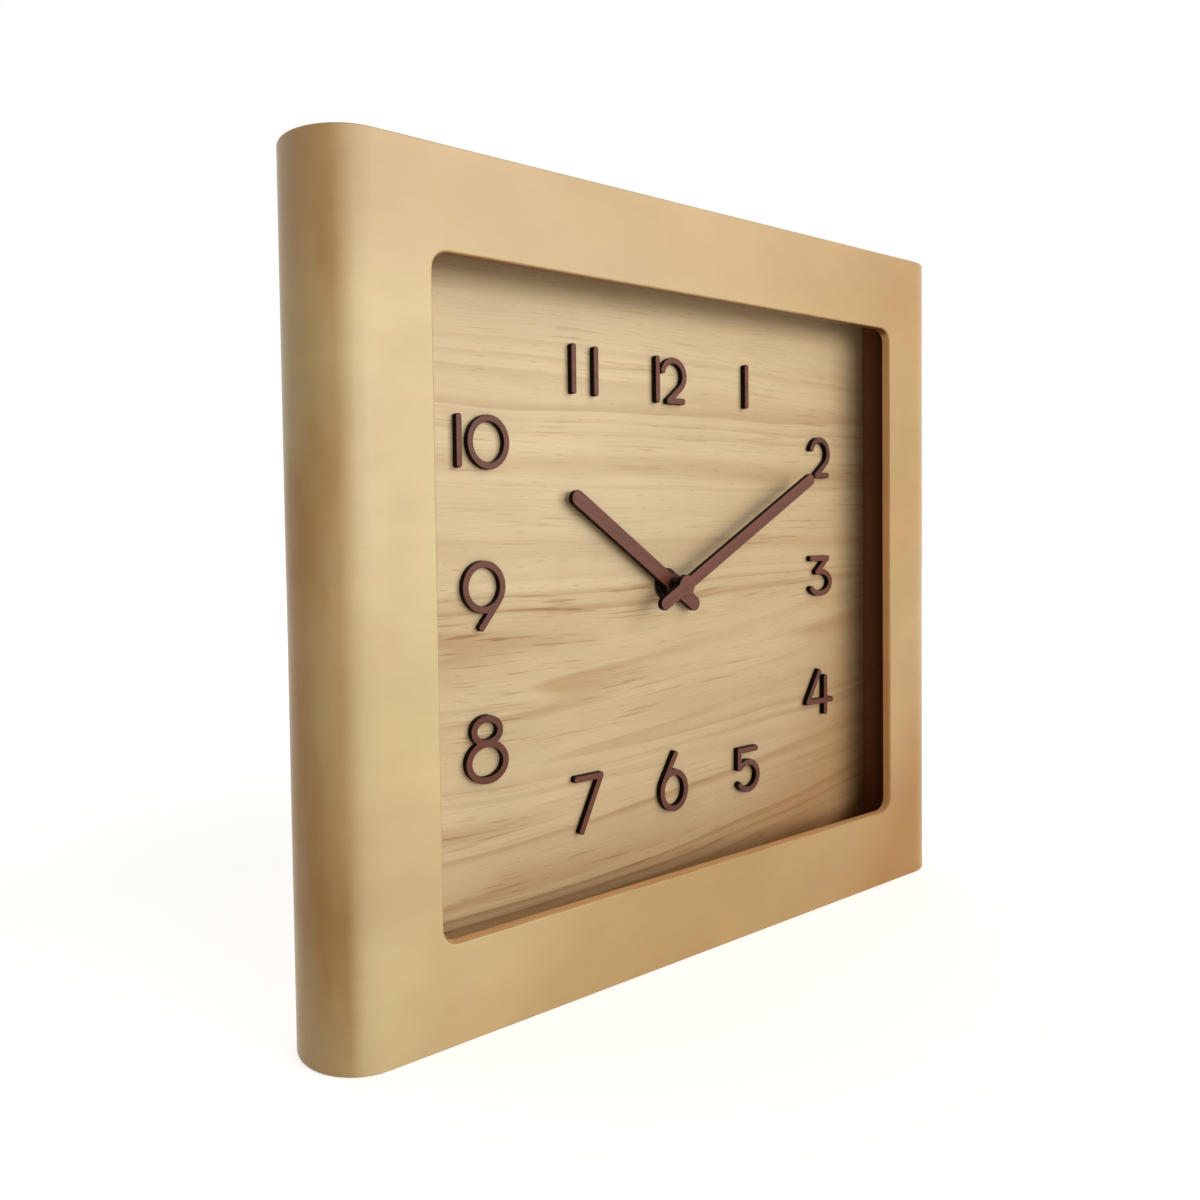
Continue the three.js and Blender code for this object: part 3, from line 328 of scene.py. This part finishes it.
def strokes(shader, point):
    """Short thin dark strokes along the grain, in loose groups."""
    stroke = shader.range(shader.noise(point, *STROKE), 0.56, 0.67)
    group = shader.range(shader.noise(point, *STROKE_GROUP), 0.4, 0.6)
    return shader.math("MULTIPLY", stroke, group)


def dial_figure(shader, warped, streak):
    """The streaks with growth rings and strokes, calmer in the upper part."""
    streak = shader.math("MAXIMUM", streak, growth(shader, warped))
    fine = shader.math("MULTIPLY", strokes(shader, warped), STROKES_SHARE)
    calm = shader.range(shader.axis(warped, "Z"), *DIAL_CALM)
    return shader.math("MULTIPLY", shader.math("ADD", streak, fine), calm)


def dial_painted_shade(shader, point, warped, colour):
    """Painted shade: darker towards the foot and the lower right corner."""
    corner = towards_corner(shader, point)
    shade = shader.range(shader.axis(warped, "Z"), *DIAL_FOOT_SHADE)
    shade = shader.math("ADD", shade, shader.range(corner, *DIAL_CORNER_SHADE, smooth=False))
    shade = shader.math("ADD", shade, shader.range(corner, *DIAL_CORNER_END_SHADE))
    return shader.mix(shade, colour, DIAL_DARK)


def case_stains_and_painted_shade(shader, point, warped, colour):
    """Rosy patches and amber stains at random, with painted shade: rose rising towards the top, and
    amber on the half-round sides and towards the lower right corner.
    """
    rose_and_top_shade = shader.range(shader.noise(point, *CASE_PATCH), 0.4, 0.66, 0.0, 0.45)
    # Painted shade at the top of the case.
    rose_and_top_shade = shader.math("MAXIMUM", rose_and_top_shade, shader.range(shader.axis(point, "Z"), *CASE_TOP_SHADE))
    stain = shader.range(shader.noise(point, *CASE_STAIN), 0.36, 0.66, 0.55, 1.0)
    # On the half-round sides the amber is painted shade, up to full share.
    side = shader.range(side_facing(shader, 0.97, 0.78), 0.0, 1.0, 0.12, 1.0, smooth=False)
    # Painted shade towards the lower right corner.
    corner = towards_corner(shader, point)
    corner_shade = shader.range(corner, *CASE_CORNER_SHADE)
    corner_shade = shader.math("ADD", corner_shade, shader.range(corner, *CASE_CORNER_END_SHADE))
    amber_and_shade = shader.math("MAXIMUM", shader.math("MULTIPLY", stain, side), corner_shade)
    return shader.mix(amber_and_shade, shader.mix(rose_and_top_shade, colour, CASE_ROSE), CASE_AMBER)


def wood(
    name, vector, light, dark, streaks=0.5, bands=40, wander=0.006, fibres=0.08, pores=0.15,
    roughness=0.5, blotches=0.06, coat=0.0, specular=0.5, relief=0.05, flow=None, figure=None,
    tone=None, edge=None, front=None, cut=None,
):
    """Wood whose grain runs along X. bands is the number of streaks in a metre across the grain.

    flow bends the grain, figure adds to its streaks and tone changes its colour from place to
    place, with stains and painted shade. edge is painted shade on the piece's sides, front is
    painted shade on its front edge, and cut is the colour of the cut round the window, with painted
    shade on its upper part.
    """
    shader = Shader(name)
    point = vector(shader)
    wave = shader.noise(point, *WAVE)
    shift = shader.math("MULTIPLY", shader.math("SUBTRACT", wave, 0.5), 2 * wander)
    if flow:
        shift = shader.math("ADD", shift, flow(shader, point))
    warped = shader.vector("ADD", point, shader.add("CombineXYZ", inputs={"Z": shift}))

    wide = shader.range(shader.noise(warped, (1.6, 8, bands), 3, 0.55), 0.42, 0.7, 0.0, 0.5)
    thin = shader.range(shader.noise(warped, (3.5, 8, bands * 7), 3, 0.6), 0.52, 0.7, 0.0, 0.5)
    streak = shader.math("MAXIMUM", wide, thin)
    if figure:
        streak = figure(shader, warped, streak)
    colour = shader.mix(shader.math("MULTIPLY", streak, streaks), light, dark)
    if tone:
        colour = tone(shader, point, warped, colour)

    blotch = shader.noise(point, *BLOTCH)
    fibre = shader.noise(warped, *FIBRE)
    pore = shader.noise(warped, *PORE)
    for factor in (
        shader.range(blotch, 0.3, 0.7, 1 - blotches, 1 + blotches, smooth=False),
        shader.range(fibre, 0.25, 0.75, 1 - fibres, 1 + fibres, smooth=False),
        shader.range(pore, 0.67, 0.76, 1.0, 1 - pores),
    ):
        colour = shader.shaded(colour, factor)
    # Painted shade on the sides of the piece, which also lose their coat and most of their
    # reflection.
    if edge:
        side = side_facing(shader, 0.92, 0.66)
        colour = shader.mix(side, colour, edge)
        coat = shader.range(side, 0.0, 1.0, coat, 0.0, smooth=False)
        specular = shader.range(side, 0.0, 1.0, specular, EDGE_SPECULAR, smooth=False)
    # Painted shade on the front edge of a rail, which is seen through the window.
    if front:
        depth = shader.axis(point, "Y")
        colour = shader.mix(shader.range(depth, -1 * MM, -11 * MM), colour, front)
    if cut:
        # Painted shade on the upper part of the cut, which faces down.
        underside_shade = shader.range(shader.axis(shader.normal(), "Z"), -0.3, -0.8)
        colour = shader.mix(window_cut(shader, point), colour, shader.mix(underside_shade, *cut))
    sheen = shader.range(fibre, 0.2, 0.8, roughness - 0.05, roughness + 0.07, smooth=False)
    shader.surface(Base_Color=colour, Roughness=sheen)
    shader.surface(Specular_IOR_Level=specular, Coat_Weight=coat, Coat_Roughness=COAT_ROUGHNESS)
    holes = shader.math("MULTIPLY", shader.range(pore, 0.66, 0.78), 0.6)
    shader.bump(shader.math("SUBTRACT", fibre, holes), relief * MM, strength=0.6)
    return shader.material


def plastic(name, colour, roughness=0.45, texture=0.02):
    shader = Shader(name)
    point = shader.place()
    wear = shader.noise(point, *WEAR)
    shade = shader.range(wear, 0.3, 0.7, 0.93, 1.05, smooth=False)
    finish = shader.range(wear, 0.3, 0.7, roughness - 0.06, roughness + 0.08, smooth=False)
    shader.surface(Base_Color=shader.shaded(colour, shade), Roughness=finish)
    shader.bump(shader.noise(point, *SPECK), texture * MM, strength=0.5)
    return shader.material


def metal(name, colour, roughness=0.3, brushed=(40, 1200, 1200)):
    """Metal with fine scratches, which run along the axis where brushed is lowest."""
    shader = Shader(name)
    point = shader.place()
    scratch = shader.noise(point, brushed, 3, 0.6)
    shade = shader.range(shader.noise(point, *METAL_STAIN), 0.3, 0.7, 0.86, 1.04, smooth=False)
    finish = shader.range(scratch, 0.25, 0.75, roughness - 0.08, roughness + 0.12, smooth=False)
    shader.surface(Base_Color=shader.shaded(colour, shade), Roughness=finish, Metallic=1.0)
    shader.bump(scratch, 0.01 * MM, strength=0.4)
    return shader.material


def winding(name, colour, wire=0.16 * MM):
    """Enamelled wire wound about X."""
    shader = Shader(name)
    point = shader.place()
    ridge = shader.math("SINE", shader.math("MULTIPLY", shader.axis(point, "X"), 2 * pi / wire))
    tint = shader.noise(point, *WIRE_TINT)
    shade = shader.range(tint, 0.3, 0.7, 0.8, 1.1, smooth=False)
    finish = shader.range(tint, 0.3, 0.7, 0.25, 0.4, smooth=False)
    shader.surface(Base_Color=shader.shaded(colour, shade), Roughness=finish, Metallic=0.8)
    shader.bump(ridge, 0.04 * MM, strength=0.8)
    return shader.material


case_look = {
    "streaks": 0.25, "bands": 18, "fibres": 0.015, "pores": 0.03, "roughness": 0.45,
    "blotches": 0.06, "coat": 0.4, "specular": 0.1, "relief": 0.008, "tone": case_stains_and_painted_shade,
}
rail_look = {"streaks": 0.5, "bands": 60, "roughness": 0.7, "specular": 0.1}
walnut_look = {
    "streaks": 0.9, "bands": 220, "wander": 0.002, "fibres": 0.2, "pores": 0.4, "roughness": 0.5,
    "edge": WALNUT_SIDE_SHADE, "specular": 0.22, "coat": 0.12, "blotches": 0.24,
}
MATERIALS = {
    "case": wood(
        "case_wood", Shader.grain, CASE_LIGHT, CASE_DARK, cut=(CUT, CUT_UNDERSIDE_SHADE), **case_look
    ),
    "board": wood("board_wood", Shader.place, CASE_LIGHT, CASE_DARK, **case_look),
    "dial": wood(
        "dial_wood", Shader.place, DIAL_LIGHT, DIAL_DARK, streaks=0.52, bands=30, wander=0.009,
        fibres=0.07, pores=0.3, roughness=0.5, coat=0.2, specular=0.1, relief=0.02,
        flow=dial_flow, figure=dial_figure, tone=dial_painted_shade,
    ),
    # The top and right rails are the low rails' wood painted darker as shade, and both kinds carry
    # painted shade on their front edge.
    "shaded_rail": wood(
        "rail_wood_painted_shade", Shader.place, srgb(128, 84, 56), srgb(104, 66, 42), front=srgb(76, 42, 30),
        **rail_look,
    ),
    "low_rail": wood(
        "low_rail_wood", Shader.place, srgb(222, 182, 130), srgb(190, 142, 94),
        front=srgb(206, 158, 106), **rail_look,
    ),
    "batten": wood(
        "batten_wood", Shader.place, srgb(190, 156, 108), srgb(150, 112, 70), streaks=0.7,
        bands=90, roughness=0.65,
    ),
    "numeral": wood("numeral_wood", Shader.place, WALNUT_LIGHT, WALNUT_DARK, **walnut_look),
    "hour": wood("hour_hand_wood", along("hour_hand"), WALNUT_LIGHT, WALNUT_DARK, **walnut_look),
    "minute": wood(
        "minute_hand_wood", along("minute_hand"), WALNUT_LIGHT, WALNUT_DARK, **walnut_look
    ),
    "steel": metal("zinc_steel", srgb(190, 192, 196)),
    # Brass made dark, partly as painted shade: the nut, washer and bushes at the hub lie in the
    # shade of the hands.
    "dark_brass": metal("brass_in_painted_shade", srgb(62, 50, 46), roughness=0.4),
    "rubber": plastic("soft_rubber", srgb(32, 32, 33), roughness=0.8, texture=0.05),
    "black": plastic("black_plastic", srgb(38, 39, 41), roughness=0.5, texture=0.03),
    "white": plastic("white_plastic", srgb(228, 226, 218), roughness=0.35, texture=0.01),
    "board_resin": plastic("circuit_resin", srgb(54, 108, 66), roughness=0.4, texture=0.02),
    "copper": winding("copper_wire", srgb(178, 92, 50)),
    "jacket": metal("battery_jacket", srgb(120, 126, 132), roughness=0.35, brushed=(900, 60, 60)),
}


def finish_mesh(obj, bevel, smooth=50, bevel_above=45, segments=2):
    """Merges flat facets, rounds the sharp edges, and shades the rest smooth. Angles in degrees."""
    work = bmesh.new()
    work.from_mesh(obj.data)
    bmesh.ops.remove_doubles(work, verts=work.verts, dist=MERGE_WITHIN)
    bmesh.ops.dissolve_limit(work, angle_limit=FLAT_WITHIN, verts=work.verts, edges=work.edges)
    work.to_mesh(obj.data)
    work.free()
    rounding = obj.modifiers.new("rounding", "BEVEL")
    rounding.width = bevel
    rounding.segments = segments
    rounding.limit_method = "ANGLE"
    rounding.angle_limit = radians(bevel_above)
    rounding.use_clamp_overlap = True
    weight = obj.modifiers.new("weight", "WEIGHTED_NORMAL")
    weight.keep_sharp = True
    obj.data.shade_smooth()
    obj.data.set_sharp_from_angle(angle=radians(smooth))
    bpy.context.view_layer.update()
    graph = bpy.context.evaluated_depsgraph_get()
    rounded = bpy.data.meshes.new_from_object(
        obj.evaluated_get(graph), preserve_all_data_layers=True, depsgraph=graph
    )
    obj.modifiers.clear()
    obj.data = rounded


def body_of(node):
    for body, members in frame["record"]["behaviour"]["bodies"].items():
        if node in members:
            return body


def cover(obj, material):
    obj.data.materials.clear()
    obj.data.materials.append(MATERIALS[material])


def dress(node, material, bevel, **finish):
    """Copy of a node with rounded edges and its material, in the node's place."""
    mesh = frame["nodes"][node].data.copy()
    piece = add_object("dressed_" + node, mesh)
    finish_mesh(piece, bevel, **finish)
    cover(piece, material)
    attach(piece, body_of(node))
    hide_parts(node)
    return piece


def look(node, material):
    """A node whose shape is right keeps it, and gets its material."""
    cover(frame["nodes"][node], material)


def unroll(piece):
    """Grain coordinates of the case: the way round its plan, the depth below its outside, and Z."""
    values = []
    for vertex in piece.data.vertices:
        x, y, z = vertex.co
        side = 1 if x >= 0 else -1
        beyond = abs(x) - bend
        if beyond <= 0 and y < 0:
            way, depth = abs(x), y + radius
        elif beyond <= 0:
            way, depth = bend + pi * radius - beyond, radius - y
        else:
            way, depth = bend + radius * atan2(beyond, -y), radius - Vector((beyond, y)).length
        values += [side * way, depth, z]
    layer = piece.data.attributes.new("grain", "FLOAT_VECTOR", "POINT")
    layer.data.foreach_set("vector", values)


def add_pieces():
    unroll(dress("case_shell", "case", BEVEL["case"], smooth=40, bevel_above=60))
    for node, material in (
        ("top_board", "board"),
        ("bottom_board", "board"),
        ("top_rail", "shaded_rail"),
        ("right_rail", "shaded_rail"),
        ("bottom_rail", "low_rail"),
        ("left_rail", "low_rail"),
        ("dial_board", "dial"),
        ("hanger_batten", "batten"),
    ):
        dress(node, material, BEVEL["board"], bevel_above=60)
    dress("hour_hand", "hour", BEVEL["hand"], segments=3)
    dress("minute_hand", "minute", BEVEL["hand"], segments=3)
    for node in frame["nodes"]:
        if node.startswith("numeral_"):
            dress(node, "numeral", BEVEL["numeral"])
    dress("keyhole_plate", "steel", BEVEL["metal"], bevel_above=55)
    for node in ("fixing_washer", "fixing_nut"):
        dress(node, "dark_brass", BEVEL["metal"], bevel_above=55)
    for node in ("hour_hand_bush", "minute_hand_bush"):
        dress(node, "dark_brass", BEVEL["metal"] / 2, bevel_above=60)
    for node in ("movement_case", "movement_cover"):
        dress(node, "black", BEVEL["metal"] * 2, bevel_above=60)
    dress("rubber_washer", "rubber", BEVEL["metal"], bevel_above=60)
    dress("battery", "jacket", BEVEL["metal"], bevel_above=60)
    for node in frame["nodes"]:
        if "screw" in node or node.startswith("battery_contact"):
            look(node, "steel")
        elif node in ("stator", "coil_core", "quartz_crystal", "rotor"):
            look(node, "steel")
        elif node in ("hour_wheel", "minute_shaft"):
            look(node, "dark_brass")
        elif node.endswith("_wheel") or node in ("setting_knob", "mid_plate"):
            look(node, "white")
    look("coil", "copper")
    look("circuit_board", "board_resin")


def sees_background(nodes):
    """1 for the rays that see the white background, 0 for those that carry light to the clock."""
    rays = nodes.tree.nodes.new("ShaderNodeLightPath").outputs
    seen = nodes.math("MAXIMUM", rays["Is Camera Ray"], rays["Is Glossy Ray"])
    return nodes.math("MAXIMUM", seen, rays["Is Transmission Ray"])


def add_floor():
    """A pale floor that keeps the clock's shadow, and shows white further away."""
    half = FLOOR_SIZE / 2
    corners = [(-half, -half), (half, -half), (half, half), (-half, half)]
    mesh = bpy.data.meshes.new("floor")
    mesh.from_pydata([(x, y, low[2]) for x, y in corners], [], [(0, 1, 2, 3)])
    floor = add_object("floor", mesh)
    shader = Shader("pale_floor")
    glow = shader.range(shader.length(shader.place()), *FLOOR_GLOW)
    glow = shader.math("MULTIPLY", sees_background(shader), glow)
    shader.surface(Base_Color=FLOOR_COLOUR, Roughness=0.7, Specular_IOR_Level=0.0)
    shader.surface(Emission_Color=WHITE, Emission_Strength=glow)
    mesh.materials.append(shader.material)


def add_room():
    """Light from all round, weak before the clock and strong behind it, and a white background."""
    world = bpy.data.worlds.new("studio")
    bpy.context.scene.world = world
    world.use_nodes = True
    nodes = Nodes(world.node_tree)
    room = nodes.tree.nodes["Background"]
    direction = nodes.add("TexCoord", output="Generated")
    nodes.set(room.inputs["Color"], ROOM_COLOUR)
    nodes.set(room.inputs["Strength"], nodes.range(nodes.axis(direction, "Y"), *ROOM_GLOW))
    paper = nodes.add("Background", inputs={"Color": WHITE})
    sources = {0: sees_background(nodes), 1: room.outputs[0], 2: paper}
    shown = nodes.add("MixShader", inputs=sources)
    nodes.set(nodes.tree.nodes["World Output"].inputs["Surface"], shown)


def add_lamps():
    for name, (direction, size, watts) in LAMPS.items():
        data = bpy.data.lights.new(name, "AREA")
        data.energy = watts
        data.color = LAMP_COLOUR
        data.shape = "DISK"
        data.size = size
        lamp = add_object(name, data)
        lamp.location = Vector(direction).normalized() * LAMP_DISTANCE
        lamp.rotation_euler = Vector(direction).to_track_quat("Z", "Y").to_euler()


add_camera()
add_pieces()
add_floor()
add_room()
add_lamps()
bpy.context.scene.view_settings.view_transform = "Standard"
